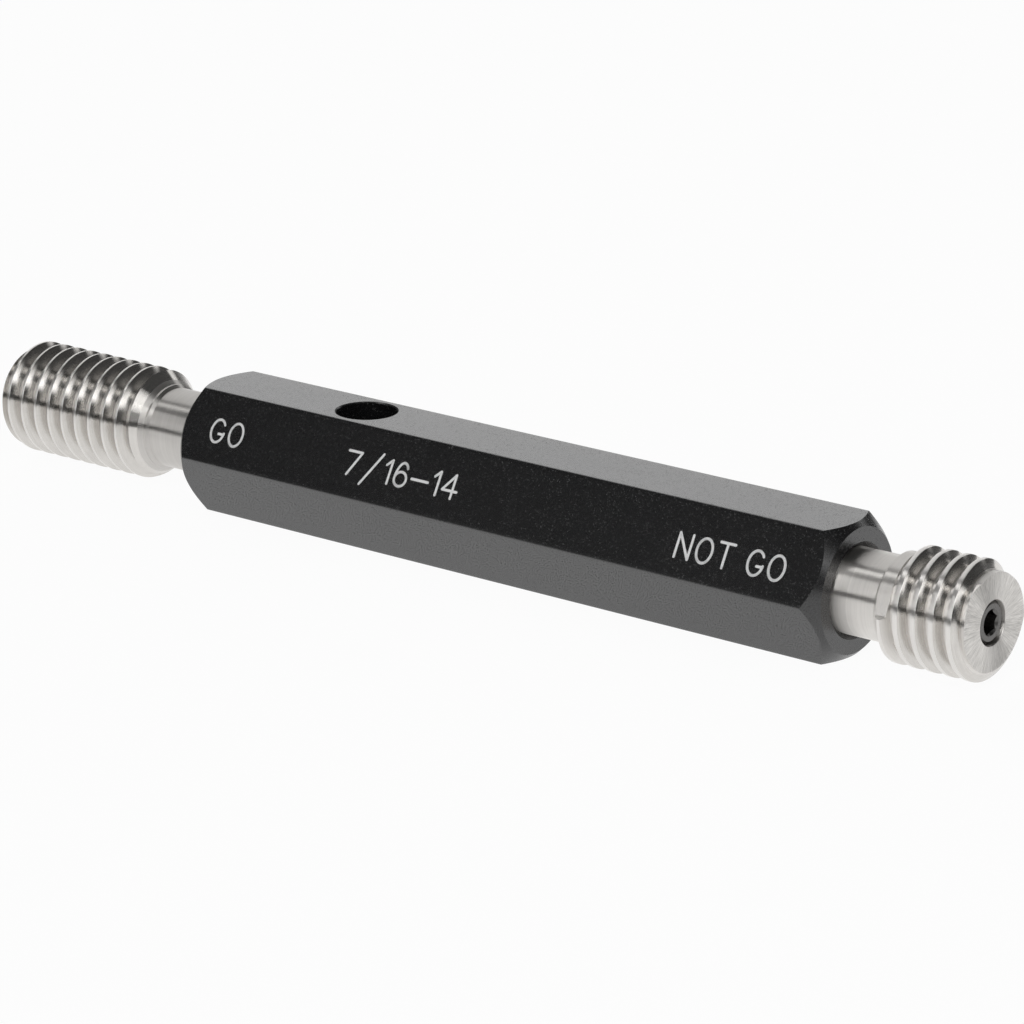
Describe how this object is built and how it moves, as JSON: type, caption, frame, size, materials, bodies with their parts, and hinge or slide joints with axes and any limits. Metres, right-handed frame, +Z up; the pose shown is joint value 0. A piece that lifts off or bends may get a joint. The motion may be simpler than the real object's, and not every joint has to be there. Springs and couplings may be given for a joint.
{
  "type": "thread plug gauge",
  "caption": "Double-ended thread plug gauge: a black hexagonal handle with a cross hole, a long sharp thread plug at one end and a short blunt one at the other.",
  "frame": {"origin": "middle of the gauge's overall length, on the surface that it rests on, under the gauge's axis", "axes": "+X along the gauge towards the NOT GO plug, +Z up out of the handle's top flat, so the drift hole runs along Z"},
  "size_m": [0.1146, 0.0144, 0.0125],
  "materials": {
    "black_handle": "black anodised, satin",
    "gauge_steel": "hardened and ground, bright",
    "black_screw": "black oxide"
  },
  "bodies": {
    "root": {"handle": "black_handle", "go_member": "gauge_steel", "not_go_member": "gauge_steel", "plug_screw": "black_screw"}
  },
  "joints": []
}
